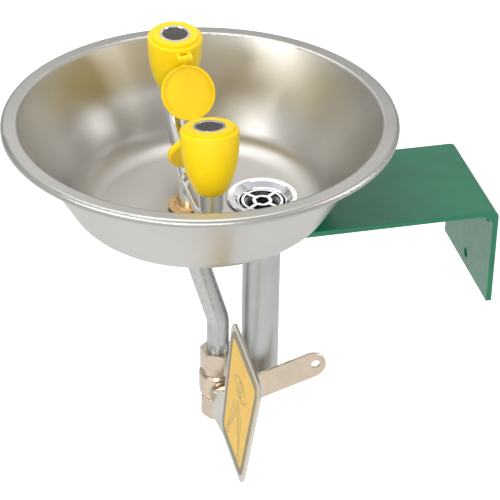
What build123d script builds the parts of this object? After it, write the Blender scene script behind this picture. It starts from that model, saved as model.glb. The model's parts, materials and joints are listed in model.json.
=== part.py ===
from build123d import *
import os
from math import atan2, cos, radians, sin, sqrt, tan

# Wall-mounted eyewash station.
# Origin: midway between the two upper wall holes, on the wall face of the bracket.
# +Z up, +Y into the wall, the user stands on the -Y side. Millimetres.

INCH = 25.4

# Bracket: one bent plate, all holes half an inch in from the edges
BRACKET_WIDTH = 4.5 * INCH
PLATE_THICKNESS = 3 / 16 * INCH
BEND_RADIUS = 11.0
FLANGE_HEIGHT = 3.5 * INCH
HOLE_INSET = 0.5 * INCH
WALL_HOLE_RADIUS = 11 / 64 * INCH
BOWL_REACH = 9.375 * INCH
PLATE_PAST_BOWL_AXIS = 2.25 * INCH
PLATE_TOP_Z = HOLE_INSET
PLATE_UNDER_Z = PLATE_TOP_Z - PLATE_THICKNESS

# Bowl: spun from sheet, 12.5 in across
BOWL_RADIUS = 6.25 * INCH
BOWL_SHEET = 1.2
BOWL_DEPTH = 85.0
BOWL_CORNER_X = 99.3
BOWL_WALL_RUN = 0.56
BOWL_FLOOR_FILLET = 29.0
RIM_TURN_DOWN = 5.0
RIM_FILLET = 3.4
BOWL_Y = -BOWL_REACH
RIM_Z = PLATE_TOP_Z + BOWL_DEPTH
FLOOR_Z = PLATE_TOP_Z + BOWL_SHEET

# Drain
DRAIN_Y = BOWL_Y + 52.0
DRAIN_HOLE_RADIUS = 23.6
STRAINER_FLANGE_RADIUS = 29.4
STRAINER_FLANGE = 2.0
SHANK_RADIUS = 20.8
DISH_RADIUS = 23.2
SHANK_BORE = 19.2
SHANK_BOTTOM_Z = -30.0
TAIL_SOCKET_TOP_Z = -12.0
GRID_DROP = 4.6
GRID_THICKNESS = 2.2
TAIL_RADIUS = 0.625 * INCH
TAIL_BORE = 14.4
TAIL_THREAD_RADIUS = 15.3
TAIL_THREAD_END_Z = SHANK_BOTTOM_Z - 0.4
TAIL_LENGTH = 6 * INCH
TAIL_END_GAP = 2.0
DRAIN_WASHER = 2.0
DRAIN_WASHER_RADIUS = 29.0
DRAIN_NUT_CORNER = 30.0
DRAIN_NUT_HEIGHT = 11.0
THREAD_GAP = 0.05
GASKET = 1.2
GASKET_RADIUS = 28.2
EDGE_BREAK = 0.4

# Supply column, bulkhead and yoke
SUPPLY_Y = BOWL_Y - 7.1
YOKE_TURN = 1.8
SUPPLY_HOLE_RADIUS = 12.0
BULKHEAD_RADIUS = 11.4
RISER_RADIUS = 3 / 8 * INCH
RISER_WALL = 1.2
ARM_RADIUS = 11 / 32 * INCH
ARM_WALL = 1.1
SUPPLY_GASKET = 2.2
LOCKNUT_RADIUS = 19.5
SUPPLY_WASHER = 1.6
SUPPLY_WASHER_RADIUS = 17.5
SUPPLY_HEX_CORNER = 20.0
SUPPLY_HEX_HEIGHT = 9.0
PIPE_SOCKET_RADIUS = 13.0
PIPE_SOCKET_LENGTH = 16.0
RISER_SOCKET = 12.0
WATERWAY_RADIUS = 5.0
REGULATOR_HEIGHT = 4.0
REGULATOR_HOLE_RADIUS = 2.4
TEE_WALL = 0.9
TEE_SOCKET = 4.5
TEE_HEIGHT = 21.2
TEE_CROWN_FILLET = 5.0
SLEEVE_WALL = 1.2
SLEEVE_LENGTH = 17.0

# Spray heads
HEAD_X = 78.0
HEAD_TOP_Z = RIM_Z + 35.0
FRONT_LEAN = 8.5
REAR_LEAN = 5.0
HEAD_TURN = 7.0
HEAD_RADIUS = 22.6
HEAD_HEIGHT = 54.0
CROWN_RADIUS = 19.2
CROWN_HEIGHT = 2.0
AERATOR_RADIUS = 15 / 32 * INCH
AERATOR_DEPTH = 12.0
AERATOR_FLANGE_RADIUS = 12.4
AERATOR_FLANGE = 1.2
NECK_RADIUS = 8.6
COLLAR_RADIUS = 9.8
COLLAR_LENGTH = 13.0
SOCKET_DEPTH = 9.0

# Flip caps, drawn closed in the head's own frame
CAP_RADIUS = 22.6
CAP_UNDERSIDE = 0.8
CAP_TOP = 2.8
CAP_LIP_BOTTOM = -1.7
CAP_RECESS_RADIUS = 20.8
PIN_X = 27.2
PIN_Z = -7.8
PIN_RADIUS = 1.0
KNUCKLE_RADIUS = 2.9
CAP_KNUCKLE_HALF = 2.8
LUG_INNER = 3.1
LUG_OUTER = 6.2
CAP_OPEN_ANGLE = 232.0

# Supply pipe and ball valve
PIPE_RADIUS = 0.375 * INCH
PIPE_BORE = 7.2
PIPE_BEND = 32.0
PIPE_THREAD_PITCH = 1.814
VALVE_Y = BOWL_Y + 15.0
VALVE_Z = RIM_Z - 265.0
VALVE_TOP = 36.0
VALVE_BOTTOM = -32.0
PORT_RADIUS = 6.35
BALL_RADIUS = 11.5
CHAMBER_RADIUS = 12.2
BODY_HEX_CORNER = 14.6
END_HEX_CORNER = 15.6
INLET_THREAD_LENGTH = 14.0
STEM_RADIUS = 3.9
STEM_END_X = 38.0
BOSS_RADIUS = 9.6
BOSS_END_X = 17.5
PACKING_RADIUS = 6.6
PACKING_START_X = 14.5
PACKING_END_X = 17.2
PACKING_HEX_CORNER = 8.3
PACKING_HEX_START_X = 18.0
PACKING_HEX_END_X = 23.0
LEVER_NUT_CORNER = 7.5
LEVER_NUT_HEIGHT = 4.8
LEVER_WASHER = 1.2
LEVER_WASHER_RADIUS = 8.0

# Lever and push flag
LEVER_THICKNESS = 2.6
LEVER_WIDTH = 1.0 * INCH
LEVER_INNER_X = 25.4
LEVER_OUTER_X = LEVER_INNER_X + LEVER_THICKNESS
LEVER_RISE = 18.0
LEVER_TAIL = 10.5
LINK_HOLE_REACH = 84.0
LINK_HOLE_EDGE = 9.0
LINK_HOLE_RADIUS = 5 / 32 * INCH
FLAG_THICKNESS = 2.0
FLAG_TILT = 6.6
FLAG_FACE_Y = BOWL_Y + 4.5
FLAG_FACE_Z = RIM_Z - 268.0
FLAG_LEFT_X = 48.0
FLAG_TOP_WIDTH = 4 * INCH
FLAG_BOTTOM_WIDTH = 3.125 * INCH
FLAG_TOP = 103.6
FLAG_BOTTOM = -1.5
FLAG_CORNER = 11.0
LABEL_MARGIN = 4.4
LABEL_THICKNESS = 0.3

os.makedirs("parts", exist_ok=True)


def save(part, name):
    part.label = name
    export_step(part, f"parts/{name}.step")


def cross_section(y):
    """Vertical sketch plane through x = 0 with local x = X and local y = Z."""
    return Plane(origin=(0, y, 0), x_dir=(1, 0, 0), z_dir=(0, -1, 0))


def ring(x, y, z_low, z_high, outer, inner):
    """Plain washer or tube standing on the XY plane."""
    with BuildPart() as body:
        with BuildSketch(Plane.XY.offset(z_low)):
            with Locations((x, y)):
                Circle(outer)
                Circle(inner, mode=Mode.SUBTRACT)
        extrude(amount=z_high - z_low)
    return body.part


def chamfered_hex(y, z_low, z_high, corner_radius, rotation=0):
    """Hexagon bar round a vertical axis, its corners turned off at both ends as on a nut."""
    face_radius = 0.9 * corner_radius
    drop = 0.08 * corner_radius
    with BuildPart() as bar:
        with BuildSketch(Plane.XY.offset(z_low)):
            with Locations((0, y)):
                RegularPolygon(radius=corner_radius, side_count=6, rotation=rotation)
        extrude(amount=z_high - z_low)
        with BuildSketch(cross_section(y)):
            with BuildLine():
                Polyline(
                    (0, z_low),
                    (face_radius, z_low),
                    (corner_radius, z_low + drop),
                    (corner_radius, z_high - drop),
                    (face_radius, z_high),
                    (0, z_high),
                    close=True,
                )
            make_face()
        revolve(axis=Axis((0, y, 0), (0, 0, 1)), mode=Mode.INTERSECT)
    return bar.part


# ---------------------------------------------------------------- bracket
with BuildPart() as wall_bracket:
    front = BOWL_Y - PLATE_PAST_BOWL_AXIS
    flange_low = PLATE_TOP_Z - FLANGE_HEIGHT
    with BuildSketch(Plane.YZ):
        with BuildLine():
            Polyline(
                (0, flange_low),
                (0, PLATE_TOP_Z),
                (front, PLATE_TOP_Z),
                (front, PLATE_UNDER_Z),
                (-PLATE_THICKNESS, PLATE_UNDER_Z),
                (-PLATE_THICKNESS, flange_low),
                close=True,
            )
        profile = make_face()
        outer_corner = profile.vertices().sort_by_distance(Vector(0, 0, PLATE_TOP_Z))[0]
        fillet(outer_corner, BEND_RADIUS)
    extrude(amount=BRACKET_WIDTH / 2, both=True)
    inner_bend = (
        wall_bracket.edges()
        .filter_by(Axis.X)
        .sort_by_distance(Vector(0, -PLATE_THICKNESS, PLATE_UNDER_Z))[0]
    )
    fillet(inner_bend, BEND_RADIUS - PLATE_THICKNESS)
    front_corners = wall_bracket.edges().filter_by(Axis.Z).group_by(Axis.Y)[0]
    fillet(front_corners, HOLE_INSET)
    cheeks = wall_bracket.faces().filter_by(Axis.X)
    chamfer(cheeks.edges(), EDGE_BREAK)
    side = BRACKET_WIDTH / 2 - HOLE_INSET
    low_hole_z = flange_low + HOLE_INSET
    with BuildSketch(Plane.XZ):
        with Locations((-side, 0), (side, 0), (0, low_hole_z)):
            Circle(WALL_HOLE_RADIUS)
    extrude(amount=PLATE_THICKNESS * 3, both=True, mode=Mode.SUBTRACT)
    with BuildSketch(Plane.XY.offset(PLATE_UNDER_Z - 1)):
        with Locations((0, DRAIN_Y)):
            Circle(DRAIN_HOLE_RADIUS)
        with Locations((0, SUPPLY_Y)):
            Circle(SUPPLY_HOLE_RADIUS)
    extrude(amount=PLATE_THICKNESS + 2, mode=Mode.SUBTRACT)
save(wall_bracket.part, "wall_bracket")

# ------------------------------------------------------------------- bowl
with BuildPart() as bowl:
    wall_top_outer = BOWL_CORNER_X + (BOWL_DEPTH - BOWL_SHEET) * BOWL_WALL_RUN
    wall_angle = atan2(1, BOWL_WALL_RUN)
    wall_top_inner = BOWL_CORNER_X + BOWL_DEPTH * BOWL_WALL_RUN - BOWL_SHEET / sin(wall_angle)
    corner_inner = BOWL_CORNER_X - BOWL_SHEET * tan(wall_angle / 2)
    rim_under = RIM_Z - BOWL_SHEET
    lip_inner = BOWL_RADIUS - BOWL_SHEET
    rounding = [
        (BOWL_CORNER_X, PLATE_TOP_Z, BOWL_FLOOR_FILLET),
        (corner_inner, FLOOR_Z, BOWL_FLOOR_FILLET - BOWL_SHEET),
        (wall_top_outer, rim_under, RIM_FILLET - BOWL_SHEET),
        (wall_top_inner, RIM_Z, RIM_FILLET),
        (lip_inner, rim_under, RIM_FILLET - BOWL_SHEET),
        (BOWL_RADIUS, RIM_Z, RIM_FILLET),
    ]
    with BuildSketch(cross_section(BOWL_Y)):
        with BuildLine():
            Polyline(
                (0, PLATE_TOP_Z),
                (BOWL_CORNER_X, PLATE_TOP_Z),
                (wall_top_outer, rim_under),
                (lip_inner, rim_under),
                (lip_inner, RIM_Z - RIM_TURN_DOWN),
                (BOWL_RADIUS, RIM_Z - RIM_TURN_DOWN),
                (BOWL_RADIUS, RIM_Z),
                (wall_top_inner, RIM_Z),
                (corner_inner, FLOOR_Z),
                (0, FLOOR_Z),
                close=True,
            )
        profile = make_face()
        for corner_x, corner_z, radius in rounding:
            spot = Vector(corner_x, corner_z, 0)
            corner = profile.vertices().sort_by_distance(spot)[0]
            profile = fillet(corner, radius)
    revolve(axis=Axis((0, BOWL_Y, 0), (0, 0, 1)))
    with BuildSketch(Plane.XY.offset(PLATE_TOP_Z - 1)):
        with Locations((0, DRAIN_Y)):
            Circle(DRAIN_HOLE_RADIUS)
        with Locations((0, SUPPLY_Y)):
            Circle(SUPPLY_HOLE_RADIUS)
    extrude(amount=BOWL_SHEET + 2, mode=Mode.SUBTRACT)
save(bowl.part, "bowl")

# ------------------------------------------------------------------ drain
save(ring(0, DRAIN_Y, FLOOR_Z, FLOOR_Z + GASKET, GASKET_RADIUS, DRAIN_HOLE_RADIUS), "drain_gasket")

with BuildPart() as drain_strainer:
    seat = FLOOR_Z + GASKET
    top = seat + STRAINER_FLANGE
    grid_top = top - GRID_DROP
    with BuildSketch(cross_section(DRAIN_Y)):
        with BuildLine():
            Polyline(
                (SHANK_BORE, TAIL_SOCKET_TOP_Z),
                (SHANK_BORE, grid_top - 0.6),
                (20.6, grid_top),
                (24.2, top - 0.5),
                (25.2, top),
                (28.6, top),
                (STRAINER_FLANGE_RADIUS, top - 1.0),
                (STRAINER_FLANGE_RADIUS, seat),
                (DISH_RADIUS, seat),
                (DISH_RADIUS, PLATE_UNDER_Z + 2.6),
                (SHANK_RADIUS, PLATE_UNDER_Z + 0.4),
                (SHANK_RADIUS, SHANK_BOTTOM_Z),
                (TAIL_THREAD_RADIUS + THREAD_GAP, SHANK_BOTTOM_Z),
                (TAIL_THREAD_RADIUS + THREAD_GAP, TAIL_SOCKET_TOP_Z),
                close=True,
            )
        make_face()
    revolve(axis=Axis((0, DRAIN_Y, 0), (0, 0, 1)))
    with BuildSketch(Plane.XY.offset(grid_top - GRID_THICKNESS)):
        with Locations((0, DRAIN_Y)):
            Circle(17.3)
            Circle(15.2, mode=Mode.SUBTRACT)
            Circle(8.2)
            RegularPolygon(radius=5.9, side_count=6, mode=Mode.SUBTRACT)
            with PolarLocations((7.4 + SHANK_BORE + 0.4) / 2, 4, start_angle=38):
                Rectangle(SHANK_BORE + 0.4 - 7.4, 3.0)
    extrude(amount=GRID_THICKNESS)
save(drain_strainer.part, "drain_strainer")

washer_low = PLATE_UNDER_Z - DRAIN_WASHER
save(
    ring(0, DRAIN_Y, washer_low, PLATE_UNDER_Z, DRAIN_WASHER_RADIUS, SHANK_RADIUS + 0.4),
    "drain_washer",
)

with BuildPart() as drain_locknut:
    nut_low = washer_low - DRAIN_NUT_HEIGHT
    add(chamfered_hex(DRAIN_Y, nut_low, washer_low, DRAIN_NUT_CORNER))
    with BuildSketch(Plane.XY.offset(nut_low)):
        with Locations((0, DRAIN_Y)):
            Circle(SHANK_RADIUS + THREAD_GAP)
    extrude(amount=DRAIN_NUT_HEIGHT, mode=Mode.SUBTRACT)
save(drain_locknut.part, "drain_locknut")

with BuildPart() as tailpiece:
    tail_top = TAIL_SOCKET_TOP_Z - TAIL_END_GAP
    tail_low = tail_top - TAIL_LENGTH
    with BuildSketch(cross_section(DRAIN_Y)):
        with BuildLine():
            Polyline(
                (TAIL_BORE, tail_low),
                (TAIL_RADIUS, tail_low),
                (TAIL_RADIUS, TAIL_THREAD_END_Z),
                (TAIL_THREAD_RADIUS, TAIL_THREAD_END_Z),
                (TAIL_THREAD_RADIUS, tail_top),
                (TAIL_BORE, tail_top),
                close=True,
            )
        make_face()
    revolve(axis=Axis((0, DRAIN_Y, 0), (0, 0, 1)))
save(tailpiece.part, "tailpiece")

# ----------------------------------------------------- bulkhead and riser
gasket_top = FLOOR_Z + SUPPLY_GASKET
save(ring(0, SUPPLY_Y, FLOOR_Z, gasket_top, LOCKNUT_RADIUS - 0.3, SUPPLY_HOLE_RADIUS), "supply_gasket")

with BuildPart() as supply_locknut:
    with BuildSketch(cross_section(SUPPLY_Y)):
        with BuildLine():
            Polyline(
                (BULKHEAD_RADIUS + THREAD_GAP, gasket_top),
                (LOCKNUT_RADIUS, gasket_top),
                (LOCKNUT_RADIUS, gasket_top + 1.4),
                (LOCKNUT_RADIUS - 0.8, gasket_top + 2.0),
                (14.8, gasket_top + 2.5),
                (14.0, gasket_top + 4.2),
                (BULKHEAD_RADIUS + THREAD_GAP, gasket_top + 4.2),
                close=True,
            )
        make_face()
    revolve(axis=Axis((0, SUPPLY_Y, 0), (0, 0, 1)))
save(supply_locknut.part, "supply_locknut")

bulkhead_top = gasket_top + 4.6
hex_top = PLATE_UNDER_Z - SUPPLY_WASHER
hex_bottom = hex_top - SUPPLY_HEX_HEIGHT
socket_bottom = hex_bottom - PIPE_SOCKET_LENGTH
pipe_top = hex_bottom + 1.0
puck_top = pipe_top + 5.5

with BuildPart() as supply_bulkhead:
    with BuildSketch(Plane.XY.offset(hex_top)):
        with Locations((0, SUPPLY_Y)):
            Circle(BULKHEAD_RADIUS)
    extrude(amount=bulkhead_top - hex_top)
    add(chamfered_hex(SUPPLY_Y, hex_bottom, hex_top, SUPPLY_HEX_CORNER))
    with BuildSketch(Plane.XY.offset(socket_bottom)):
        with Locations((0, SUPPLY_Y)):
            Circle(PIPE_SOCKET_RADIUS)
    extrude(amount=hex_bottom - socket_bottom)
    with BuildSketch(Plane.XY.offset(socket_bottom)):
        with Locations((0, SUPPLY_Y)):
            Circle(PIPE_RADIUS + THREAD_GAP)
    extrude(amount=pipe_top - socket_bottom, mode=Mode.SUBTRACT)
    with BuildSketch(Plane.XY.offset(pipe_top)):
        with Locations((0, SUPPLY_Y)):
            Circle(PIPE_BORE)
    extrude(amount=puck_top - pipe_top, mode=Mode.SUBTRACT)
    with BuildSketch(Plane.XY.offset(puck_top)):
        with Locations((0, SUPPLY_Y)):
            Circle(WATERWAY_RADIUS)
    extrude(amount=bulkhead_top - puck_top, mode=Mode.SUBTRACT)
    with BuildSketch(Plane.XY.offset(bulkhead_top - RISER_SOCKET)):
        with Locations((0, SUPPLY_Y)):
            Circle(RISER_RADIUS + THREAD_GAP)
    extrude(amount=RISER_SOCKET, mode=Mode.SUBTRACT)
save(supply_bulkhead.part, "supply_bulkhead")

save(
    ring(0, SUPPLY_Y, hex_top, PLATE_UNDER_Z, SUPPLY_WASHER_RADIUS, SUPPLY_HOLE_RADIUS),
    "supply_washer",
)
puck_low = puck_top - REGULATOR_HEIGHT
save(
    ring(0, SUPPLY_Y, puck_low, puck_top, PIPE_BORE - THREAD_GAP, REGULATOR_HOLE_RADIUS),
    "flow_regulator",
)

riser_top = RIM_Z - 69.0
save(
    ring(0, SUPPLY_Y, bulkhead_top - RISER_SOCKET, riser_top, RISER_RADIUS, RISER_RADIUS - RISER_WALL),
    "riser_tube",
)


# The yoke is screwed down a little off square to the bracket
yoke_turn = (
    Location((0, SUPPLY_Y, 0)) * Location((0, 0, 0), (0, 0, -YOKE_TURN)) * Location((0, -SUPPLY_Y, 0))
)


def head_plane(side):
    """Frame of one spray head: local +X points at the other head, local +Z out of its face."""
    lean = radians(FRONT_LEAN if side > 0 else REAR_LEAN)
    return Plane(
        origin=(side * HEAD_X, SUPPLY_Y, HEAD_TOP_Z),
        x_dir=(-side * cos(lean), 0, -sin(lean)),
        z_dir=(-side * sin(lean), 0, cos(lean)),
    )


def head_point(side, x, z):
    """Row position of a point in a head's own XZ plane."""
    return head_plane(side).from_local_coords(Vector(x, 0, z))


def arm_path(side):
    """Centre line of one yoke arm, from inside the tee up into its head."""
    tube_end = head_point(side, 0, -HEAD_HEIGHT - COLLAR_LENGTH + SOCKET_DEPTH)
    straight = head_point(side, 0, -HEAD_HEIGHT - COLLAR_LENGTH - 1.0)
    bend = head_point(side, 0, -HEAD_HEIGHT - COLLAR_LENGTH - 21.0)
    root = Vector(side * 6.0, SUPPLY_Y, RIM_Z - 60.0)
    swing = Vector(side * 36.0, SUPPLY_Y, RIM_Z - 52.0)
    with BuildLine() as path:
        Bezier(root, swing, bend, straight)
        Line(straight, tube_end)
    return path


with BuildPart() as yoke_tee:
    with BuildSketch(Plane.XY.offset(riser_top - TEE_SOCKET)):
        with Locations((0, SUPPLY_Y)):
            Circle(RISER_RADIUS + TEE_WALL)
    extrude(amount=TEE_HEIGHT)
    crown = yoke_tee.edges().group_by(Axis.Z)[-1]
    fillet(crown, TEE_CROWN_FILLET)
    for side in (-1, 1):
        sleeve_dir = Vector(side * 30.0, 0, 8.0)
        with BuildSketch(Plane(origin=(0, SUPPLY_Y, RIM_Z - 61.6), z_dir=sleeve_dir)):
            Circle(ARM_RADIUS + SLEEVE_WALL)
        extrude(amount=SLEEVE_LENGTH)
    with BuildSketch(Plane.XY.offset(riser_top - TEE_SOCKET)):
        with Locations((0, SUPPLY_Y)):
            Circle(RISER_RADIUS + THREAD_GAP)
    extrude(amount=TEE_SOCKET, mode=Mode.SUBTRACT)
    with BuildSketch(Plane.XY.offset(riser_top - 1.0)):
        with Locations((0, SUPPLY_Y)):
            Circle(5.6)
    extrude(amount=7.0, mode=Mode.SUBTRACT)
    for side in (-1, 1):
        path = arm_path(side)
        first = path.edges()[0]
        with BuildSketch(Plane(origin=first @ 0, z_dir=first % 0)):
            Circle(ARM_RADIUS + THREAD_GAP)
        sweep(path=path.line, mode=Mode.SUBTRACT)
save(yoke_turn * yoke_tee.part, "yoke_tee")


def build_arm(side, name):
    path = arm_path(side)
    with BuildPart() as arm:
        first = path.edges()[0]
        with BuildSketch(Plane(origin=first @ 0, z_dir=first % 0)):
            Circle(ARM_RADIUS)
            Circle(ARM_RADIUS - ARM_WALL, mode=Mode.SUBTRACT)
        sweep(path=path.line)
    save(yoke_turn * arm.part, name)


build_arm(1, "yoke_arm_front")
build_arm(-1, "yoke_arm_rear")

# ------------------------------------------------------------ spray heads
LOCAL = Plane(origin=(0, 0, 0), x_dir=(1, 0, 0), z_dir=(0, -1, 0))
SPIN = Axis((0, 0, 0), (0, 0, 1))
foot_z = -HEAD_HEIGHT
ledge_z = -AERATOR_DEPTH

with BuildPart() as shell_blank:
    with BuildSketch(LOCAL):
        with BuildLine():
            crown_edge = Line((AERATOR_FLANGE_RADIUS + THREAD_GAP, 0), (CROWN_RADIUS, 0))
            step = Line(crown_edge @ 1, (CROWN_RADIUS, -CROWN_HEIGHT))
            shoulder = Line(step @ 1, (HEAD_RADIUS - 1.2, -CROWN_HEIGHT))
            bevel = Line(shoulder @ 1, (HEAD_RADIUS, -CROWN_HEIGHT - 1.2))
            flank = Spline(
                bevel @ 1,
                (22.5, -12.5),
                (21.5, -24.0),
                (19.3, -35.0),
                (15.3, -46.2),
                (11.6, foot_z + 1.0),
                tangents=((0.02, -1), (-0.85, -1)),
            )
            foot = Polyline(
                flank @ 1,
                (10.6, foot_z),
                (NECK_RADIUS + THREAD_GAP, foot_z),
                (NECK_RADIUS + THREAD_GAP, -41.0),
                (17.0, -28.0),
                (17.6, -18.0),
                (13.0, ledge_z - 2.4),
                (9.0, ledge_z - 2.4),
                (9.0, ledge_z),
                (AERATOR_RADIUS + THREAD_GAP, ledge_z),
                (AERATOR_RADIUS + THREAD_GAP, -AERATOR_FLANGE),
                (AERATOR_FLANGE_RADIUS + THREAD_GAP, -AERATOR_FLANGE),
                (AERATOR_FLANGE_RADIUS + THREAD_GAP, 0),
            )
        make_face()
    revolve(axis=SPIN)
    with BuildSketch(LOCAL.offset(-LUG_OUTER)) as lug_profile:
        with BuildLine():
            Polyline(
                (20.8, PIN_Z + KNUCKLE_RADIUS),
                (PIN_X, PIN_Z + KNUCKLE_RADIUS),
                (PIN_X, PIN_Z - KNUCKLE_RADIUS),
                (20.8, -13.6),
                close=True,
            )
        make_face()
        with Locations((PIN_X, PIN_Z)):
            Circle(KNUCKLE_RADIUS)
    extrude(amount=LUG_OUTER - LUG_INNER)
    extrude(lug_profile.sketch.moved(Location((0, -LUG_OUTER - LUG_INNER, 0))), amount=LUG_OUTER - LUG_INNER)
    with BuildSketch(LOCAL):
        with Locations((PIN_X, PIN_Z)):
            Circle(PIN_RADIUS + 0.02)
    extrude(amount=LUG_OUTER + 1, both=True, mode=Mode.SUBTRACT)

with BuildPart() as cap_blank:
    with BuildSketch(LOCAL):
        with BuildLine():
            Polyline(
                (0, CAP_UNDERSIDE),
                (CAP_RECESS_RADIUS, CAP_UNDERSIDE),
                (CAP_RECESS_RADIUS, CAP_LIP_BOTTOM),
                (CAP_RADIUS, CAP_LIP_BOTTOM),
                (CAP_RADIUS, CAP_TOP),
                (0, CAP_TOP),
                close=True,
            )
        outline = make_face()
        outer_edge = outline.vertices().sort_by_distance(Vector(CAP_RADIUS, CAP_TOP, 0))[0]
        fillet(outer_edge, 2.5)
    revolve(axis=SPIN)
    with BuildSketch(LOCAL):
        with BuildLine():
            Polyline(
                (21.0, CAP_UNDERSIDE),
                (21.0, CAP_LIP_BOTTOM),
                (23.1, CAP_LIP_BOTTOM),
                (PIN_X - KNUCKLE_RADIUS, PIN_Z),
                (PIN_X, PIN_Z),
                (PIN_X + 2.0, PIN_Z + 2.1),
                (CAP_RADIUS, CAP_UNDERSIDE),
                close=True,
            )
        make_face()
        with Locations((PIN_X, PIN_Z)):
            Circle(KNUCKLE_RADIUS)
    extrude(amount=CAP_KNUCKLE_HALF, both=True)
    with BuildSketch(LOCAL):
        with Locations((PIN_X, PIN_Z)):
            Circle(PIN_RADIUS + 0.08)
    extrude(amount=CAP_KNUCKLE_HALF + 1, both=True, mode=Mode.SUBTRACT)

with BuildPart() as pin_blank:
    with BuildSketch(LOCAL):
        with Locations((PIN_X, PIN_Z)):
            Circle(PIN_RADIUS)
    extrude(amount=LUG_OUTER, both=True)

with BuildPart() as aerator_blank:
    with BuildSketch(LOCAL):
        with BuildLine():
            Polyline(
                (10.4, -9.0),
                (AERATOR_RADIUS, -9.0),
                (AERATOR_RADIUS, -AERATOR_FLANGE),
                (AERATOR_FLANGE_RADIUS, -AERATOR_FLANGE),
                (AERATOR_FLANGE_RADIUS, 0),
                (AERATOR_FLANGE_RADIUS - 0.3, 0.3),
                (10.6, 0.3),
                (10.2, -0.3),
                (10.2, -2.4),
                (10.4, -2.6),
                close=True,
            )
        make_face()
    revolve(axis=SPIN)

with BuildPart() as screen_blank:
    with BuildSketch(Plane.XY.offset(-2.2)):
        Circle(10.15)
    extrude(amount=0.8)

with BuildPart() as diffuser_blank:
    with BuildSketch(Plane.XY.offset(-8.6)):
        Circle(10.35)
        with PolarLocations(7.6, 12):
            Circle(0.9, mode=Mode.SUBTRACT)
        with PolarLocations(4.2, 6):
            Circle(0.9, mode=Mode.SUBTRACT)
    extrude(amount=2.4)

with BuildPart() as seal_blank:
    with BuildSketch(Plane.XY.offset(ledge_z)):
        Circle(AERATOR_RADIUS - 0.2)
        Circle(9.2, mode=Mode.SUBTRACT)
    extrude(amount=-ledge_z - 9.0)

with BuildPart() as adapter_blank:
    with BuildSketch(LOCAL):
        with BuildLine():
            Polyline(
                (ARM_RADIUS + THREAD_GAP, foot_z - COLLAR_LENGTH),
                (COLLAR_RADIUS, foot_z - COLLAR_LENGTH),
                (COLLAR_RADIUS, foot_z),
                (NECK_RADIUS, foot_z),
                (NECK_RADIUS, -41.5),
                (4.8, -39.0),
                (4.8, foot_z - COLLAR_LENGTH + SOCKET_DEPTH),
                (ARM_RADIUS + THREAD_GAP, foot_z - COLLAR_LENGTH + SOCKET_DEPTH),
                close=True,
            )
        make_face()
    revolve(axis=SPIN)

for side, end in ((1, "front"), (-1, "rear")):
    place = yoke_turn * head_plane(side).location * Location((0, 0, 0), (0, 0, HEAD_TURN))
    hinge = Axis((PIN_X, 0, PIN_Z), (0, 1, 0))
    opened = cap_blank.part.rotate(hinge, CAP_OPEN_ANGLE)
    save(place * shell_blank.part, f"head_shell_{end}")
    save(place * opened, f"flip_cap_{end}")
    save(place * pin_blank.part, f"cap_pin_{end}")
    save(place * aerator_blank.part, f"aerator_ring_{end}")
    save(place * screen_blank.part, f"aerator_screen_{end}")
    save(place * diffuser_blank.part, f"diffuser_{end}")
    save(place * seal_blank.part, f"aerator_seal_{end}")
    save(place * adapter_blank.part, f"head_adapter_{end}")

# ------------------------------------------------------------ supply pipe
pipe_low = VALVE_Z + VALVE_TOP - 14.0
with BuildPart() as supply_pipe:
    with BuildLine() as pipe_line:
        FilletPolyline(
            (0, SUPPLY_Y, pipe_top),
            (0, SUPPLY_Y, RIM_Z - 122.0),
            (0, VALVE_Y, RIM_Z - 198.0),
            (0, VALVE_Y, pipe_low),
            radius=PIPE_BEND,
        )
    with BuildSketch(Plane.XY.offset(pipe_top)):
        with Locations((0, SUPPLY_Y)):
            Circle(PIPE_RADIUS)
            Circle(PIPE_BORE, mode=Mode.SUBTRACT)
    sweep(path=pipe_line.line)
    with BuildSketch(cross_section(VALVE_Y)):
        for turn in range(12):
            crest = pipe_low + 1.2 + turn * PIPE_THREAD_PITCH
            with BuildLine():
                Polyline(
                    (PIPE_RADIUS + 0.2, crest - 0.8),
                    (PIPE_RADIUS - 0.8, crest),
                    (PIPE_RADIUS + 0.2, crest + 0.8),
                    close=True,
                )
            make_face()
    revolve(axis=Axis((0, VALVE_Y, 0), (0, 0, 1)), mode=Mode.SUBTRACT)
save(supply_pipe.part, "supply_pipe")

# ------------------------------------------------------------------ valve
valve_axis = Axis((0, VALVE_Y, 0), (0, 0, 1))
joint_z = VALVE_Z + 14.0


def on_stem(x_low, x_high):
    """Where a cylinder along the stem axis sits between two X stations."""
    return Location(((x_low + x_high) / 2, VALVE_Y, VALVE_Z), (0, 90, 0))


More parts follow.
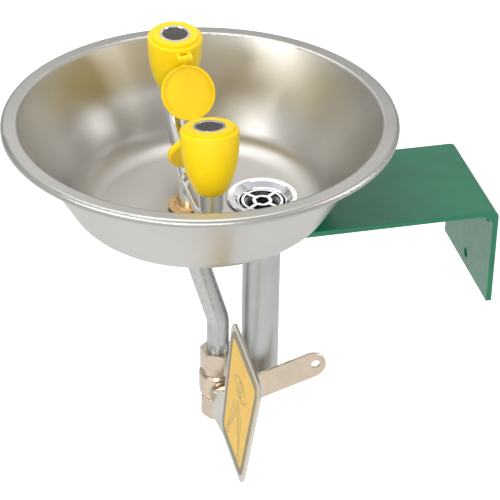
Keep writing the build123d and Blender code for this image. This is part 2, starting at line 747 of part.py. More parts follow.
with BuildPart() as valve_body:
    with BuildSketch(cross_section(VALVE_Y)):
        with BuildLine():
            Polyline(
                (0, VALVE_Z - 13.0),
                (11.8, VALVE_Z - 13.0),
                (15.6, VALVE_Z - 8.0),
                (16.2, VALVE_Z - 3.0),
                (16.2, joint_z - 2.0),
                (15.2, joint_z),
                (0, joint_z),
                close=True,
            )
        make_face()
    revolve(axis=valve_axis)
    add(chamfered_hex(VALVE_Y, VALVE_Z + VALVE_BOTTOM, VALVE_Z - 12.0, BODY_HEX_CORNER, rotation=30))
    with Locations(on_stem(0, BOSS_END_X)):
        Cylinder(BOSS_RADIUS, BOSS_END_X)
    with BuildSketch(Plane.XY.offset(VALVE_Z - 11.9)):
        with Locations((0, VALVE_Y)):
            Circle(CHAMBER_RADIUS)
    extrude(amount=joint_z - VALVE_Z + 11.9, mode=Mode.SUBTRACT)
    with BuildSketch(Plane.XY.offset(VALVE_Z + VALVE_BOTTOM)):
        with Locations((0, VALVE_Y)):
            Circle(PORT_RADIUS)
    extrude(amount=-VALVE_BOTTOM, mode=Mode.SUBTRACT)
    with BuildSketch(Plane.XY.offset(VALVE_Z + VALVE_BOTTOM)):
        with Locations((0, VALVE_Y)):
            Circle(PIPE_RADIUS + THREAD_GAP)
    extrude(amount=INLET_THREAD_LENGTH, mode=Mode.SUBTRACT)
    with Locations(on_stem(8.0, 18.0)):
        Cylinder(STEM_RADIUS + 0.06, 10.0, mode=Mode.SUBTRACT)
    with Locations(on_stem(PACKING_START_X, 18.0)):
        Cylinder(PACKING_RADIUS, 18.0 - PACKING_START_X, mode=Mode.SUBTRACT)
save(valve_body.part, "valve_body")

with BuildPart() as valve_end:
    add(chamfered_hex(VALVE_Y, joint_z, VALVE_Z + VALVE_TOP, END_HEX_CORNER, rotation=7))
    with BuildSketch(Plane.XY.offset(joint_z - 2.1)):
        with Locations((0, VALVE_Y)):
            Circle(CHAMBER_RADIUS - THREAD_GAP)
    extrude(amount=2.1)
    with BuildSketch(Plane.XY.offset(joint_z - 3)):
        with Locations((0, VALVE_Y)):
            Circle(PORT_RADIUS)
    extrude(amount=40, mode=Mode.SUBTRACT)
    with BuildSketch(Plane.XY.offset(pipe_low - 0.3)):
        with Locations((0, VALVE_Y)):
            Circle(PIPE_RADIUS + THREAD_GAP)
    extrude(amount=20.0, mode=Mode.SUBTRACT)
save(valve_end.part, "valve_end")

ball_centre = (0, VALVE_Y, VALVE_Z)
with BuildPart() as ball:
    with Locations(ball_centre):
        Sphere(BALL_RADIUS)
    with BuildSketch(Plane.XZ.offset(-VALVE_Y)):
        with Locations((0, VALVE_Z)):
            Circle(PORT_RADIUS)
    extrude(amount=BALL_RADIUS + 1, both=True, mode=Mode.SUBTRACT)
    with Locations((BALL_RADIUS - 1.0, VALVE_Y, VALVE_Z)):
        Box(4.4, 3.2, 20.0, mode=Mode.SUBTRACT)
save(ball.part, "ball")

for end, sign in (("lower", -1), ("upper", 1)):
    with BuildPart() as seat_ring:
        with BuildSketch(cross_section(VALVE_Y)):
            with Locations((9.2, VALVE_Z + sign * 9.65)):
                Rectangle(5.6, 4.4)
        revolve(axis=valve_axis)
        with Locations(ball_centre):
            Sphere(BALL_RADIUS + 0.04, mode=Mode.SUBTRACT)
    save(seat_ring.part, f"ball_seat_{end}")

with BuildPart() as stem:
    with Locations(on_stem(BALL_RADIUS - 0.4, STEM_END_X)):
        Cylinder(STEM_RADIUS, STEM_END_X + 0.4 - BALL_RADIUS)
    with Locations(((BALL_RADIUS + 9.0) / 2, VALVE_Y, VALVE_Z)):
        Box(BALL_RADIUS - 9.0 + 0.4, 3.0, 6.6)
save(stem.part, "stem")

with BuildPart() as stem_packing:
    with Locations(on_stem(PACKING_START_X, PACKING_END_X)):
        Cylinder(PACKING_RADIUS - 0.1, PACKING_END_X - PACKING_START_X)
    with Locations(on_stem(14.0, 18.0)):
        Cylinder(STEM_RADIUS + 0.04, 4.0, mode=Mode.SUBTRACT)
save(stem_packing.part, "stem_packing")

with BuildPart() as packing_nut:
    with Locations(on_stem(PACKING_END_X, 18.5)):
        Cylinder(PACKING_RADIUS - 0.1, 18.5 - PACKING_END_X)
    half_height = (PACKING_HEX_END_X - PACKING_HEX_START_X) / 2
    seat = on_stem(PACKING_HEX_START_X, PACKING_HEX_END_X)
    add(seat * chamfered_hex(0, -half_height, half_height, PACKING_HEX_CORNER))
    with Locations(on_stem(17.0, 24.0)):
        Cylinder(STEM_RADIUS + 0.06, 7.0, mode=Mode.SUBTRACT)
save(packing_nut.part, "packing_nut")

# --------------------------------------------------- lever, flag, fixings
strip_plane = Plane(
    origin=(LEVER_INNER_X, VALVE_Y, VALVE_Z),
    x_dir=(0, cos(radians(LEVER_RISE)), sin(radians(LEVER_RISE))),
    z_dir=(1, 0, 0),
)
half_width = LEVER_WIDTH / 2
round_end = LINK_HOLE_REACH + LINK_HOLE_EDGE - half_width

with BuildPart() as lever:
    with BuildSketch(strip_plane):
        with Locations(((round_end - LEVER_TAIL) / 2, 0)):
            Rectangle(round_end + LEVER_TAIL, LEVER_WIDTH)
        with Locations((round_end, 0)):
            Circle(half_width)
        Circle(STEM_RADIUS + 0.02, mode=Mode.SUBTRACT)
        with Locations((LINK_HOLE_REACH, 0)):
            Circle(LINK_HOLE_RADIUS, mode=Mode.SUBTRACT)
    extrude(amount=LEVER_THICKNESS)
    outer_face = lever.faces().sort_by(Axis.X)[-1]
    inner_face = lever.faces().sort_by(Axis.X)[0]
    chamfer(outer_face.outer_wire().edges() + inner_face.outer_wire().edges(), EDGE_BREAK)
save(lever.part, "lever")

tilt = radians(FLAG_TILT)
flag_plane = Plane(
    origin=(0, FLAG_FACE_Y, FLAG_FACE_Z),
    x_dir=(1, 0, 0),
    z_dir=(0, -cos(tilt), sin(tilt)),
)
flag_middle = FLAG_LEFT_X + FLAG_TOP_WIDTH / 2
top_half = FLAG_TOP_WIDTH / 2
bottom_half = FLAG_BOTTOM_WIDTH / 2


def flag_outline(inset):
    """Corner points of the flag, drawn in from its edge by an inset."""
    lean = (top_half - bottom_half) / (FLAG_TOP - FLAG_BOTTOM)
    high = FLAG_TOP - inset
    low = FLAG_BOTTOM + inset
    side_inset = inset * sqrt(1 + lean * lean)
    high_half = top_half - lean * inset - side_inset
    low_half = bottom_half + lean * inset - side_inset
    return [
        (flag_middle - high_half, high),
        (flag_middle + high_half, high),
        (flag_middle + low_half, low),
        (flag_middle - low_half, low),
    ]


with BuildPart() as push_flag:
    with BuildSketch(flag_plane):
        with BuildLine():
            Polyline(*flag_outline(0), close=True)
        plate = make_face()
        fillet(plate.vertices(), FLAG_CORNER)
        with BuildLine():
            Polyline(
                (LEVER_OUTER_X, 15.5),
                (FLAG_LEFT_X + 8.0, 34.0),
                (flag_middle, 30.0),
                (flag_middle, FLAG_BOTTOM),
                (flag_middle - bottom_half + 8.0, FLAG_BOTTOM),
                (LEVER_OUTER_X, -9.5),
                close=True,
            )
        make_face()
    extrude(amount=-FLAG_THICKNESS)
    with BuildSketch(Plane.YZ.offset(LEVER_OUTER_X)):
        with Locations(Location((VALVE_Y, VALVE_Z, 0), LEVER_RISE)):
            with Locations((-1.0, 0)):
                Rectangle(27.0, LEVER_WIDTH)
            with Locations((12.5, 0)):
                Circle(half_width)
        with Locations(Location((FLAG_FACE_Y, FLAG_FACE_Z, 0), -FLAG_TILT)):
            with Locations((-50.0, 0)):
                Rectangle(100.0, 200.0, mode=Mode.SUBTRACT)
    extrude(amount=FLAG_THICKNESS)
    with Locations(on_stem(LEVER_OUTER_X - 1, LEVER_OUTER_X + FLAG_THICKNESS + 1)):
        Cylinder(STEM_RADIUS + 0.02, FLAG_THICKNESS + 2, mode=Mode.SUBTRACT)
save(push_flag.part, "push_flag")

with BuildPart() as flag_label:
    with BuildSketch(flag_plane):
        with BuildLine():
            Polyline(*flag_outline(LABEL_MARGIN), close=True)
        plate = make_face()
        fillet(plate.vertices(), FLAG_CORNER - LABEL_MARGIN + 4.0)
    extrude(amount=LABEL_THICKNESS)
save(flag_label.part, "flag_label")

washer_x = LEVER_OUTER_X + FLAG_THICKNESS
with BuildPart() as lever_washer:
    with Locations(on_stem(washer_x, washer_x + LEVER_WASHER)):
        Cylinder(LEVER_WASHER_RADIUS, LEVER_WASHER)
    with Locations(on_stem(washer_x - 1, washer_x + 2)):
        Cylinder(STEM_RADIUS + 0.1, 3.0, mode=Mode.SUBTRACT)
save(lever_washer.part, "lever_washer")

with BuildPart() as lever_nut:
    nut_x = washer_x + LEVER_WASHER
    half_height = LEVER_NUT_HEIGHT / 2
    seat = on_stem(nut_x, nut_x + LEVER_NUT_HEIGHT)
    add(seat * chamfered_hex(0, -half_height, half_height, LEVER_NUT_CORNER))
    with Locations(on_stem(washer_x, washer_x + 8)):
        Cylinder(STEM_RADIUS + THREAD_GAP, 8.0, mode=Mode.SUBTRACT)
save(lever_nut.part, "lever_nut")
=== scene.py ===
import json
from math import cos, pi, radians, sin, sqrt, tau

import bmesh
import bpy
from mathutils import Matrix, Vector


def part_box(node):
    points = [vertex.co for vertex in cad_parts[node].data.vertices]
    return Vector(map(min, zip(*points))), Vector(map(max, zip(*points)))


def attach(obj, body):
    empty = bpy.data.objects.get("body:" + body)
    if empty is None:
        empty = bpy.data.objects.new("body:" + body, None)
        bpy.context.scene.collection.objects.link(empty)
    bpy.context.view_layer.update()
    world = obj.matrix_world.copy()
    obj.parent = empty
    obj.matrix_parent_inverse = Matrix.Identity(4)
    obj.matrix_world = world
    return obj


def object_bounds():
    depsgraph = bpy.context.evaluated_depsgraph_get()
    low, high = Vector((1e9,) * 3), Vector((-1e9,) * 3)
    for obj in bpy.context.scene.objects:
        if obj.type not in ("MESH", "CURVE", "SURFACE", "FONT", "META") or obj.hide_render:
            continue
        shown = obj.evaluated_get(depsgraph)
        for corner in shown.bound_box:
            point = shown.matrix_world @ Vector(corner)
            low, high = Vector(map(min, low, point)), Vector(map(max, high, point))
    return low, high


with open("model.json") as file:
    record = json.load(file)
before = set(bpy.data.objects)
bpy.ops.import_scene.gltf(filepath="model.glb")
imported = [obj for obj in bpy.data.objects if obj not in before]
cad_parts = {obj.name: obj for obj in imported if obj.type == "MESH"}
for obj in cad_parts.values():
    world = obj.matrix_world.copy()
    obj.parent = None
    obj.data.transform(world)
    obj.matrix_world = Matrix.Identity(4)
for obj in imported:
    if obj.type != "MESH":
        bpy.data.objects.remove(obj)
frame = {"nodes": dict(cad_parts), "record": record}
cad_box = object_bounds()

# Looks of a wall-mounted eyewash station, built around its CAD model.
# Metres in the row frame: +Z up, +Y into the wall, +X to the user's right.

MM = 0.001
NODES = frame["nodes"]


# ------------------------------------------------------------------ helpers
def srgb(red, green, blue):
    """Linear colour from a display colour of 0 to 255."""
    return tuple((value / 255) ** 2.2 for value in (red, green, blue))


def centre(node):
    low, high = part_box(node)
    return (low + high) / 2


def add_piece(name, mesh, body, material):
    """Link a new mesh as a piece that rides on a body."""
    piece = bpy.data.objects.new(name, mesh)
    bpy.context.scene.collection.objects.link(piece)
    mesh.materials.append(material)
    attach(piece, body)
    return piece


def mesh_from(name, shape, smooth=True):
    mesh = bpy.data.meshes.new(name)
    bmesh.ops.recalc_face_normals(shape, faces=shape.faces)
    shape.to_mesh(mesh)
    shape.free()
    for face in mesh.polygons:
        face.use_smooth = smooth
    return mesh


# ---------------------------------------------------------------- materials
class Finish:
    """A procedural surface that is built up one effect at a time."""

    def __init__(self, name, colour, metallic=0.0, roughness=0.4):
        self.material = bpy.data.materials.new(name)
        self.material.use_nodes = True
        self.tree = self.material.node_tree
        self.shader = self.tree.nodes["Principled BSDF"]
        self.shader.inputs["Base Color"].default_value = (*colour, 1)
        self.shader.inputs["Metallic"].default_value = metallic
        self.shader.inputs["Roughness"].default_value = roughness
        self.colour = colour
        self.place = self.add("ShaderNodeTexCoord").outputs["Object"]
        self.bump = None

    def add(self, kind, **settings):
        node = self.tree.nodes.new(kind)
        for key, value in settings.items():
            setattr(node, key, value)
        return node

    def link(self, start, end):
        self.tree.links.new(start, end)

    def shader_value(self, name, value):
        """Set a constant on the shader itself."""
        self.shader.inputs[name].default_value = value

    def stretched(self, scale, turn=(0, 0, 0)):
        """Coordinates turned and scaled by axis, so that noise runs in streaks."""
        mapping = self.add("ShaderNodeMapping")
        mapping.inputs["Scale"].default_value = scale
        mapping.inputs["Rotation"].default_value = turn
        self.link(self.place, mapping.inputs["Vector"])
        return mapping.outputs["Vector"]

    def around(self, axis, lines, sweep=1.0):
        """Coordinates (radius, angle, height) about a vertical axis, for turned or spun surfaces."""
        offset = self.add("ShaderNodeVectorMath", operation="SUBTRACT")
        offset.inputs[1].default_value = (axis.x, axis.y, 0)
        self.link(self.place, offset.inputs[0])
        parts = self.add("ShaderNodeSeparateXYZ")
        self.link(offset.outputs["Vector"], parts.inputs["Vector"])
        square = self.add("ShaderNodeCombineXYZ")
        self.link(parts.outputs["X"], square.inputs["X"])
        self.link(parts.outputs["Y"], square.inputs["Y"])
        radius = self.add("ShaderNodeVectorMath", operation="LENGTH")
        self.link(square.outputs["Vector"], radius.inputs[0])
        angle = self.add("ShaderNodeMath", operation="ARCTAN2")
        self.link(parts.outputs["Y"], angle.inputs[0])
        self.link(parts.outputs["X"], angle.inputs[1])
        joined = self.add("ShaderNodeCombineXYZ")
        self.link(radius.outputs["Value"], joined.inputs["X"])
        self.link(angle.outputs["Value"], joined.inputs["Y"])
        self.link(parts.outputs["Z"], joined.inputs["Z"])
        scaled = self.add("ShaderNodeVectorMath", operation="MULTIPLY")
        scaled.inputs[1].default_value = (lines, sweep, lines)
        self.link(joined.outputs["Vector"], scaled.inputs[0])
        return scaled.outputs["Vector"]

    def noise(self, scale, vector=None, detail=3.0, roughness=0.55):
        node = self.add("ShaderNodeTexNoise")
        node.inputs["Scale"].default_value = scale
        node.inputs["Detail"].default_value = detail
        node.inputs["Roughness"].default_value = roughness
        self.link(vector or self.place, node.inputs["Vector"])
        return node.outputs["Fac"]

    def cells(self, scale):
        """A random value for each crystal or grain."""
        node = self.add("ShaderNodeTexVoronoi")
        node.inputs["Scale"].default_value = scale
        self.link(self.place, node.inputs["Vector"])
        channels = self.add("ShaderNodeSeparateColor")
        self.link(node.outputs["Color"], channels.inputs["Color"])
        return channels.outputs["Red"]

    def remap(self, value, low, high, span=(0.3, 0.7)):
        node = self.add("ShaderNodeMapRange")
        node.inputs["From Min"].default_value = span[0]
        node.inputs["From Max"].default_value = span[1]
        node.inputs["To Min"].default_value = low
        node.inputs["To Max"].default_value = high
        self.link(value, node.inputs["Value"])
        return node.outputs["Result"]

    def tint(self, value, dark=0.9, light=1.06, span=(0.3, 0.7)):
        """Lighten and darken the base colour with a texture value."""
        node = self.add("ShaderNodeMix", data_type="RGBA")
        # a Mix node's colour sockets are its seventh and eighth, and its third output
        for socket, factor in ((6, dark), (7, light)):
            shade = [min(part * factor, 1) for part in self.colour]
            node.inputs[socket].default_value = (*shade, 1)
        self.link(self.remap(value, 0, 1, span), node.inputs["Factor"])
        self.link(node.outputs[2], self.shader.inputs["Base Color"])

    def sheen_spread(self, value, low, high, span=(0.3, 0.7)):
        """Vary roughness between two values."""
        self.link(self.remap(value, low, high, span), self.shader.inputs["Roughness"])

    def relief(self, value, height, strength=1.0):
        """Add a bump layer of a height in metres on top of any earlier one."""
        node = self.add("ShaderNodeBump")
        node.inputs["Distance"].default_value = height
        node.inputs["Strength"].default_value = strength
        self.link(value, node.inputs["Height"])
        if self.bump:
            self.link(self.bump, node.inputs["Normal"])
        self.bump = node.outputs["Normal"]
        self.link(self.bump, self.shader.inputs["Normal"])


def green_paint():
    """Thick powder coat: orange peel under a clear gloss."""
    paint = Finish("green_powder_coat", (0.0, 0.165, 0.075), roughness=0.34)
    paint.shader_value("Coat Weight", 0.3)
    paint.shader_value("Coat Roughness", 0.1)
    paint.tint(paint.noise(35), 0.9, 1.1)
    paint.sheen_spread(paint.noise(120), 0.26, 0.36)
    paint.relief(paint.noise(520, detail=1.0), 0.03 * MM, 0.25)
    paint.relief(paint.noise(2600, detail=2.0), 0.01 * MM, 0.25)
    return paint.material


def spun_steel():
    """Stainless sheet with the fine circular lines of spinning and polishing."""
    steel = Finish("spun_stainless", srgb(194, 192, 187), metallic=1.0, roughness=0.34)
    steel.shader_value("Anisotropic", 0.4)
    tangent = steel.add("ShaderNodeTangent", direction_type="RADIAL", axis="Z")
    steel.link(tangent.outputs["Tangent"], steel.shader.inputs["Tangent"])
    lines = steel.noise(1.0, steel.around(centre("bowl"), 2600, 1.4), detail=4.0)
    steel.tint(steel.noise(9, detail=2.0), 0.93, 1.04)
    steel.sheen_spread(lines, 0.31, 0.38)
    steel.relief(lines, 0.006 * MM, 0.14)
    return steel.material


def chrome_plate():
    """Polished plate with faint smears and the slight wave of a drawn tube."""
    chrome = Finish("chrome_plate", srgb(236, 237, 240), metallic=1.0, roughness=0.08)
    chrome.tint(chrome.noise(60), 0.96, 1.03)
    chrome.sheen_spread(chrome.noise(160, detail=5.0), 0.05, 0.14)
    chrome.relief(chrome.noise(110, detail=1.0), 0.05 * MM, 0.2)
    return chrome.material


def yellow_plastic():
    """Moulded yellow plastic with a fine grain."""
    plastic = Finish("yellow_moulding", srgb(252, 214, 0), roughness=0.34)
    plastic.shader_value("Subsurface Weight", 0.12)
    plastic.shader_value("Subsurface Radius", (0.004, 0.0025, 0.0005))
    plastic.shader_value("Subsurface Scale", 0.6)
    plastic.tint(plastic.noise(45), 0.96, 1.03)
    plastic.sheen_spread(plastic.noise(300), 0.29, 0.4)
    plastic.relief(plastic.noise(1800, detail=2.0), 0.012 * MM, 0.3)
    return plastic.material


def screen_wire():
    """Fine stainless wire, with its own shade painted into the base colour as a darker grey."""
    wire = Finish("screen_wire", srgb(128, 124, 120), metallic=1.0, roughness=0.42)
    wire.tint(wire.noise(700), 0.8, 1.1)
    wire.sheen_spread(wire.noise(900), 0.34, 0.5)
    wire.relief(wire.noise(6000), 0.01 * MM, 0.3)
    return wire.material


def plain_plastic():
    part = Finish("white_moulding", srgb(226, 225, 220), roughness=0.5)
    part.tint(part.noise(90), 0.95, 1.02)
    part.sheen_spread(part.noise(400), 0.44, 0.56)
    part.relief(part.noise(1500), 0.01 * MM, 0.3)
    return part.material


def rubber():
    part = Finish("black_rubber", srgb(48, 42, 38), roughness=0.68)
    part.tint(part.noise(140), 0.8, 1.25)
    part.sheen_spread(part.noise(500), 0.6, 0.78)
    part.relief(part.noise(1400), 0.03 * MM, 0.4)
    return part.material


def turned_brass(axis):
    """Brass with the rings left by a lathe tool."""
    brass = Finish("turned_brass", srgb(222, 186, 138), metallic=1.0, roughness=0.26)
    rings = brass.noise(1.0, brass.around(axis, 3200, 0.8), detail=2.0)
    brass.tint(brass.noise(80), 0.88, 1.05)
    brass.sheen_spread(rings, 0.2, 0.34)
    brass.relief(rings, 0.012 * MM, 0.25)
    return brass.material


def galvanised():
    """Zinc coat: bright crystals a few millimetres across over a grainy skin."""
    zinc = Finish("galvanised_zinc", srgb(190, 192, 190), metallic=1.0, roughness=0.3)
    crystals = zinc.cells(420)
    zinc.tint(crystals, 0.92, 1.05, span=(0.0, 1.0))
    zinc.sheen_spread(crystals, 0.2, 0.32, span=(0.0, 1.0))
    zinc.relief(zinc.noise(260, detail=2.0), 0.06 * MM, 0.3)
    zinc.relief(zinc.noise(1300, detail=4.0, roughness=0.6), 0.04 * MM, 0.5)
    return zinc.material


def satin_tube():
    """Satin-plated drain tube, brushed along its length."""
    tube = Finish("satin_plated_tube", srgb(192, 195, 193), metallic=0.92, roughness=0.36)
    streaks = tube.noise(1.0, tube.stretched((2600, 2600, 30)), detail=3.0)
    tube.tint(tube.noise(28), 0.93, 1.04)
    tube.sheen_spread(streaks, 0.3, 0.42)
    tube.relief(streaks, 0.01 * MM, 0.3)
    return tube.material


def nickel_plate():
    """Warm nickel over castings and strip."""
    nickel = Finish("warm_nickel", srgb(214, 198, 178), metallic=1.0, roughness=0.25)
    streaks = nickel.noise(1.0, nickel.stretched((300, 90, 2400), (radians(18), 0, 0)))
    nickel.tint(nickel.noise(70, detail=3.0), 0.93, 1.04)
    nickel.sheen_spread(streaks, 0.18, 0.33)
    nickel.relief(nickel.noise(260, detail=2.0), 0.03 * MM, 0.2)
    nickel.relief(streaks, 0.006 * MM, 0.14)
    return nickel.material


def flag_sheet():
    """Brushed stainless sheet, grain running across the flag."""
    sheet = Finish("brushed_sheet", srgb(212, 209, 200), metallic=0.85, roughness=0.34)
    streaks = sheet.noise(1.0, sheet.stretched((60, 2600, 2600)), detail=4.0)
    sheet.tint(sheet.noise(40), 0.94, 1.04)
    sheet.sheen_spread(streaks, 0.26, 0.42)
    sheet.relief(streaks, 0.012 * MM, 0.35)
    return sheet.material


def vinyl():
    """Printed yellow vinyl under a clear film."""
    film = Finish("yellow_vinyl", srgb(238, 186, 28), roughness=0.42)
    film.shader_value("Coat Weight", 0.15)
    film.shader_value("Coat Roughness", 0.2)
    film.tint(film.noise(60, detail=5.0), 0.95, 1.03)
    film.sheen_spread(film.noise(500), 0.32, 0.44)
    film.relief(film.noise(300, detail=1.0), 0.03 * MM, 0.2)
    return film.material


def print_ink():
    """Grey-brown screen print."""
    ink = Finish("printed_ink", srgb(134, 130, 116), roughness=0.5)
    ink.tint(ink.noise(900), 0.85, 1.15)
    ink.sheen_spread(ink.noise(600), 0.44, 0.56)
    ink.relief(ink.noise(2500), 0.005 * MM, 0.3)
    return ink.material


def sealing_polymer():
    part = Finish("seat_polymer", srgb(236, 235, 230), roughness=0.42)
    part.tint(part.noise(150), 0.95, 1.02)
    part.sheen_spread(part.noise(600), 0.36, 0.5)
    part.relief(part.noise(1200), 0.01 * MM, 0.25)
    return part.material


MATERIALS = {
    "green_paint": green_paint(),
    "bowl_steel": spun_steel(),
    "chrome": chrome_plate(),
    "yellow_abs": yellow_plastic(),
    "screen": screen_wire(),
    "white_plastic": plain_plastic(),
    "black_rubber": rubber(),
    "brass": turned_brass(centre("supply_locknut")),
    "zinc_pipe": galvanised(),
    "tail_metal": satin_tube(),
    "nickel": nickel_plate(),
    "ptfe": sealing_polymer(),
    "flag_steel": flag_sheet(),
    "label": vinyl(),
}
INK = print_ink()

for part in frame["record"]["subparts"]:
    data = NODES[part["node"]].data
    data.materials.clear()
    data.materials.append(MATERIALS[part["material_slot"]])


# ------------------------------------------------------------ screw threads
STEPS_PER_TURN = 48
RUN_OUT_STEPS = 12
RIDGE_DEPTH = 0.45
RIDGE_HALF_BASE = 0.42
RIDGE_SINK = 0.05 * MM


def thread_ridge(name, place, radius, length, pitch, body, slot):
    """A helical ridge of triangular section, about local Z from z = 0 to the length."""
    depth = RIDGE_DEPTH * pitch
    half_base = RIDGE_HALF_BASE * pitch
    foot = radius - RIDGE_SINK
    steps = int(length / pitch * STEPS_PER_TURN)
    shape = bmesh.new()
    previous = None
    for step in range(steps + 1):
        angle = tau * step / STEPS_PER_TURN
        height = 0.5 * pitch + (length - pitch) * step / steps
        taper = min(1.0, step / RUN_OUT_STEPS, (steps - step) / RUN_OUT_STEPS)
        spoke = Vector((cos(angle), sin(angle), 0))
        profile = (
            (foot, height - half_base),
            (radius + depth * taper, height),
            (foot, height + half_base),
        )
        section = [shape.verts.new(place @ (spoke * out + Vector((0, 0, up)))) for out, up in profile]
        if previous:
            for k in range(3):
                shape.faces.new((previous[k], section[k], section[(k + 1) % 3], previous[(k + 1) % 3]))
        else:
            shape.faces.new(section)
        previous = section
    shape.faces.new(previous[::-1])
    return add_piece(name, mesh_from(name, shape, smooth=False), body, MATERIALS[slot])


SHANK_RADIUS = 20.8 * MM
SHANK_PITCH = 2.2 * MM
drain = centre("drain_strainer")
shank_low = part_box("drain_strainer")[0].z
nut_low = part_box("drain_locknut")[0].z
thread_ridge(
    "drain_thread",
    Matrix.Translation((drain.x, drain.y, shank_low)),
    SHANK_RADIUS,
    nut_low - shank_low,
    SHANK_PITCH,
    "station",
    "chrome",
)

STEM_RADIUS = 3.9 * MM
STEM_PITCH = 0.8 * MM
stem_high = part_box("stem")[1]
nut_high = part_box("lever_nut")[1].x
stem_axis = centre("stem")
along_x = Matrix.Rotation(pi / 2, 4, "Y")
thread_ridge(
    "stem_thread",
    Matrix.Translation((nut_high, stem_axis.y, stem_axis.z)) @ along_x,
    STEM_RADIUS,
    stem_high.x - nut_high,
    STEM_PITCH,
    "valve_lever",
    "nickel",
)


# ------------------------------------------------------- aerator wire cloth
FRONT_LEAN = radians(8.5)
REAR_LEAN = radians(5.0)
YOKE_TURN = radians(1.8)
SCREEN_THICKNESS = 0.8 * MM
CLOTH_RADIUS = 10.1 * MM
WIRE_RADIUS = 0.13 * MM
WIRE_PITCH = 0.84 * MM
WEAVE_HEIGHT = 0.14 * MM
WIRE_SIDES = 5


def add_wire(shape, place, offset, along_first, phase):
    """One woven wire that rises and dips over the wires it crosses."""
    reach = sqrt(CLOTH_RADIUS**2 - offset**2)
    count = 2 * int(reach / WIRE_PITCH * 2) + 1
    rings = []
    for step in range(count):
        travel = -reach + 2 * reach * step / (count - 1)
        lift = WEAVE_HEIGHT * cos(pi * travel / WIRE_PITCH + phase)
        ring = []
        for side in range(WIRE_SIDES):
            angle = tau * side / WIRE_SIDES
            across = offset + WIRE_RADIUS * cos(angle)
            height = lift + WIRE_RADIUS * sin(angle)
            point = (travel, across, height) if along_first else (across, travel, height)
            ring.append(shape.verts.new(place @ Vector(point)))
        rings.append(ring)
    for before, after in zip(rings, rings[1:]):
        for side in range(WIRE_SIDES):
            other = (side + 1) % WIRE_SIDES
            shape.faces.new((before[side], before[other], after[other], after[side]))
    shape.faces.new(rings[0])
    shape.faces.new(rings[-1][::-1])


def wire_cloth(name, node, lean):
    """Woven wire lying on the flat top of an aerator screen."""
    shape = bmesh.new()
    face_up = Matrix.Rotation(-YOKE_TURN, 4, "Z") @ Matrix.Rotation(lean, 4, "Y")
    above = face_up @ Vector((0, 0, SCREEN_THICKNESS / 2 + WIRE_RADIUS + WEAVE_HEIGHT))
    place = Matrix.Translation(centre(node) + above) @ face_up
    wires = int(CLOTH_RADIUS / WIRE_PITCH)
    for index in range(-wires, wires + 1):
        phase = pi * (index % 2)
        add_wire(shape, place, index * WIRE_PITCH, True, phase)
        add_wire(shape, place, index * WIRE_PITCH, False, phase + pi)
    return add_piece(name, mesh_from(name, shape), "station", MATERIALS["screen"])


wire_cloth("screen_cloth_front", "aerator_screen_front", -FRONT_LEAN)
wire_cloth("screen_cloth_rear", "aerator_screen_rear", REAR_LEAN)


# --------------------------------------------------------------- flag print
FLAG_TILT = radians(6.6)
BORDER_WIDTH = 6.0 * MM
INK_HEIGHT = 0.06 * MM
WELD_DISTANCE = 0.002 * MM
label_right = Vector((1, 0, 0))
label_up = Vector((0, sin(FLAG_TILT), cos(FLAG_TILT)))
label_out = Vector((0, -cos(FLAG_TILT), sin(FLAG_TILT)))
LABEL_THICKNESS = 0.3 * MM
label_middle = centre("flag_label") + label_out * LABEL_THICKNESS / 2

# The picture on the label, in millimetres right and up from its middle
STROKE = 0.8
EYE_MIDDLE = (0, 16)
LID_RADIUS = 34.0
LID_HALF_ANGLE = 38.0
IRIS_RADIUS = 6.4
PUPIL_RADIUS = 2.6
JET_FOOT = (22.0, -33.0)
JET_RISE = 28.0
JET_REACHES = (7.0, 13.0, 19.0)
JET_STEPS = 12
CUP_MIDDLE = (20.0, -36.0)
CUP_RADIUS = 4.6


def raise_print(shape):
    """Turn flat faces on the label into a thin raised layer of ink."""
    grown = bmesh.ops.extrude_face_region(shape, geom=shape.faces[:])["geom"]
    for vert in (item for item in grown if isinstance(item, bmesh.types.BMVert)):
        vert.co += label_out * INK_HEIGHT


def label_border():
    """The grey band round the label, inset from the label's own outline."""
    shape = bmesh.new()
    shape.from_mesh(NODES["flag_label"].data)
    bmesh.ops.remove_doubles(shape, verts=shape.verts, dist=WELD_DISTANCE)
    shape.normal_update()
    away = [face for face in shape.faces if face.normal.dot(label_out) < 0.99]
    bmesh.ops.delete(shape, geom=away, context="FACES")
    bmesh.ops.dissolve_faces(shape, faces=shape.faces[:])
    plate = shape.faces[:]
    bmesh.ops.inset_region(
        shape, faces=plate, thickness=BORDER_WIDTH, use_even_offset=True, use_boundary=True
    )
    bmesh.ops.delete(shape, geom=plate, context="FACES")
    raise_print(shape)
    return add_piece("label_border", mesh_from("label_border", shape, False), "valve_lever", INK)


def add_stroke(shape, points, closed=False):
    """A printed line through points of the label's picture."""
    flat = [Vector(point) for point in points]
    total = len(flat)
    pairs = []
    for index, point in enumerate(flat):
        before = flat[index - 1] if closed or index > 0 else point
        after = flat[(index + 1) % total] if closed or index < total - 1 else point
        run = (after - before).normalized()
        side = Vector((-run.y, run.x)) * STROKE / 2
        pair = []
        for spot in (point + side, point - side):
            place = label_middle + (label_right * spot.x + label_up * spot.y) * MM
            pair.append(shape.verts.new(place))
        pairs.append(pair)
    spans = list(zip(pairs, pairs[1:]))
    if closed:
        spans.append((pairs[-1], pairs[0]))
    for start, end in spans:
        shape.faces.new((start[0], start[1], end[1], end[0]))


def arc(middle, radius, start, stop, count=20):
    """Points along a circular arc, angles in degrees."""
    angles = [radians(start + (stop - start) * step / count) for step in range(count + 1)]
    return [(middle[0] + radius * cos(angle), middle[1] + radius * sin(angle)) for angle in angles]


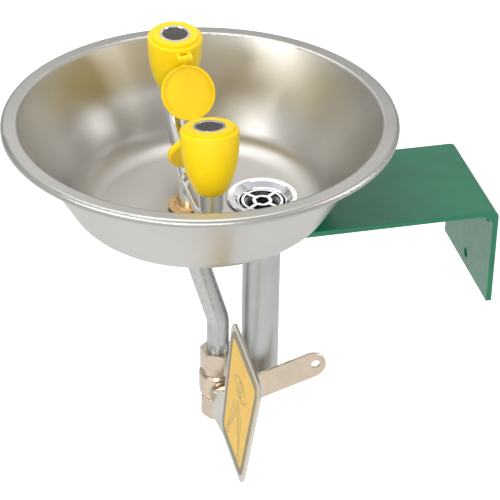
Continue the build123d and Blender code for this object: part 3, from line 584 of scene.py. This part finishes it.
def label_symbol():
    """An open eye over two jets of water, drawn with plain arcs."""
    shape = bmesh.new()
    drop = LID_RADIUS * cos(radians(LID_HALF_ANGLE))
    eye_x, eye_y = EYE_MIDDLE
    upper = arc((eye_x, eye_y - drop), LID_RADIUS, 90 - LID_HALF_ANGLE, 90 + LID_HALF_ANGLE)
    lower = arc((eye_x, eye_y + drop), LID_RADIUS, 270 - LID_HALF_ANGLE, 270 + LID_HALF_ANGLE)
    add_stroke(shape, upper[:-1] + lower[:-1], closed=True)
    add_stroke(shape, arc(EYE_MIDDLE, IRIS_RADIUS, 0, 360, 32)[:-1], closed=True)
    add_stroke(shape, arc(EYE_MIDDLE, PUPIL_RADIUS, 0, 360, 20)[:-1], closed=True)
    foot_x, foot_y = JET_FOOT
    cup_x, cup_y = CUP_MIDDLE
    for side in (-1, 1):
        for reach in JET_REACHES:
            start_x = foot_x - 0.3 * reach
            jet = []
            for step in range(JET_STEPS + 1):
                t = step / JET_STEPS
                rise = JET_RISE * t + 0.5 * reach * t * t
                jet.append((side * (start_x - reach * t), foot_y + rise))
            add_stroke(shape, jet)
        cup = arc((side * cup_x, cup_y), CUP_RADIUS, 180, 360)
        add_stroke(shape, cup)
        add_stroke(shape, [cup[0], cup[-1]])
    raise_print(shape)
    return add_piece("label_symbol", mesh_from("label_symbol", shape, False), "valve_lever", INK)


label_border()
label_symbol()


# ------------------------------------------------------------ studio, camera
FLOOR_HEIGHT = -1.1
FLOOR_HALF_WIDTH = 8.0
# Grey of the sky by height, from the horizon to straight overhead
SKY_SHADES = ((0.0, 0.6), (0.08, 0.24), (0.35, 0.5), (0.55, 0.85), (0.8, 0.6), (1.0, 0.6))
CAMERA_PLACE = (1.3883, -0.5315, 0.8913)
CAMERA_BACK = (0.8155, -0.1971, 0.5442)
CAMERA_ROLL = 0.0143
SENSOR_WIDTH = 36.0
FOCAL_LENGTH = 146.7


def aim(item, target):
    item.rotation_euler = (Vector(target) - item.location).to_track_quat("-Z", "Y").to_euler()


def softbox(name, place, target, size, power):
    """A rectangular lamp, size in metres and power in watts."""
    data = bpy.data.lights.new(name, "AREA")
    data.shape = "RECTANGLE"
    data.size, data.size_y = size
    data.energy = power
    light = bpy.data.objects.new(name, data)
    light.location = place
    bpy.context.scene.collection.objects.link(light)
    aim(light, target)


def studio_floor(height, size):
    """White paper far below the object, brighter to the camera than to the metal above it."""
    shape = bmesh.new()
    bmesh.ops.create_grid(shape, x_segments=4, y_segments=4, size=size)
    mesh = mesh_from("studio_floor", shape)
    floor = bpy.data.objects.new("studio_floor", mesh)
    floor.location = (0, 0, height)
    bpy.context.scene.collection.objects.link(floor)
    surface = Finish("studio_paper", (0.93, 0.93, 0.93), roughness=0.9)
    surface.shader_value("Emission Color", (1, 1, 1, 1))
    seen = surface.add("ShaderNodeLightPath").outputs["Is Camera Ray"]
    surface.link(surface.remap(seen, 0.12, 0.7, span=(0, 1)), surface.shader.inputs["Emission Strength"])
    surface.relief(surface.noise(40), 0.1 * MM, 0.05)
    mesh.materials.append(surface.material)


def studio_sky():
    """Bright above and grey along the horizon, so that polished metal has something to reflect."""
    world = bpy.data.worlds.new("studio")
    world.use_nodes = True
    bpy.context.scene.world = world
    tree = world.node_tree
    direction = tree.nodes.new("ShaderNodeTexCoord")
    parts = tree.nodes.new("ShaderNodeSeparateXYZ")
    ramp = tree.nodes.new("ShaderNodeValToRGB")
    while len(ramp.color_ramp.elements) < len(SKY_SHADES):
        ramp.color_ramp.elements.new(0.5)
    for element, (position, shade) in zip(ramp.color_ramp.elements, SKY_SHADES):
        element.position = position
        element.color = (shade, shade, shade, 1)
    tree.links.new(direction.outputs["Generated"], parts.inputs["Vector"])
    tree.links.new(parts.outputs["Z"], ramp.inputs["Fac"])
    tree.links.new(ramp.outputs["Color"], tree.nodes["Background"].inputs["Color"])
    tree.nodes["Background"].inputs["Strength"].default_value = 1.0


def photo_camera():
    """Long lens from the user's right, slightly in front of the wall line, looking down."""
    data = bpy.data.cameras.new("camera")
    data.sensor_width = SENSOR_WIDTH
    data.lens = FOCAL_LENGTH
    data.clip_end = 50.0
    camera = bpy.data.objects.new("camera", data)
    back = Vector(CAMERA_BACK).normalized()
    right = Vector((0, 0, 1)).cross(back).normalized()
    up = back.cross(right)
    rolled_right = right * cos(CAMERA_ROLL) + up * sin(CAMERA_ROLL)
    rolled_up = up * cos(CAMERA_ROLL) - right * sin(CAMERA_ROLL)
    axes = Matrix((rolled_right, rolled_up, back)).transposed().to_4x4()
    camera.matrix_world = Matrix.Translation(CAMERA_PLACE) @ axes
    bpy.context.scene.collection.objects.link(camera)
    bpy.context.scene.camera = camera


middle = (cad_box[0] + cad_box[1]) / 2
studio_floor(FLOOR_HEIGHT, FLOOR_HALF_WIDTH)
studio_sky()
softbox("overhead", (-0.35, -0.35, 1.3), middle, (1.1, 1.1), 7)
softbox("front_left", (0.7, -1.5, 0.75), middle, (0.7, 0.9), 9)
softbox("camera_side", (1.5, -0.7, 0.35), middle, (0.8, 0.5), 9)
softbox("wall_side", (0.6, 1.2, 0.6), middle, (0.5, 0.9), 5)
photo_camera()
bpy.context.scene.view_settings.view_transform = "Standard"
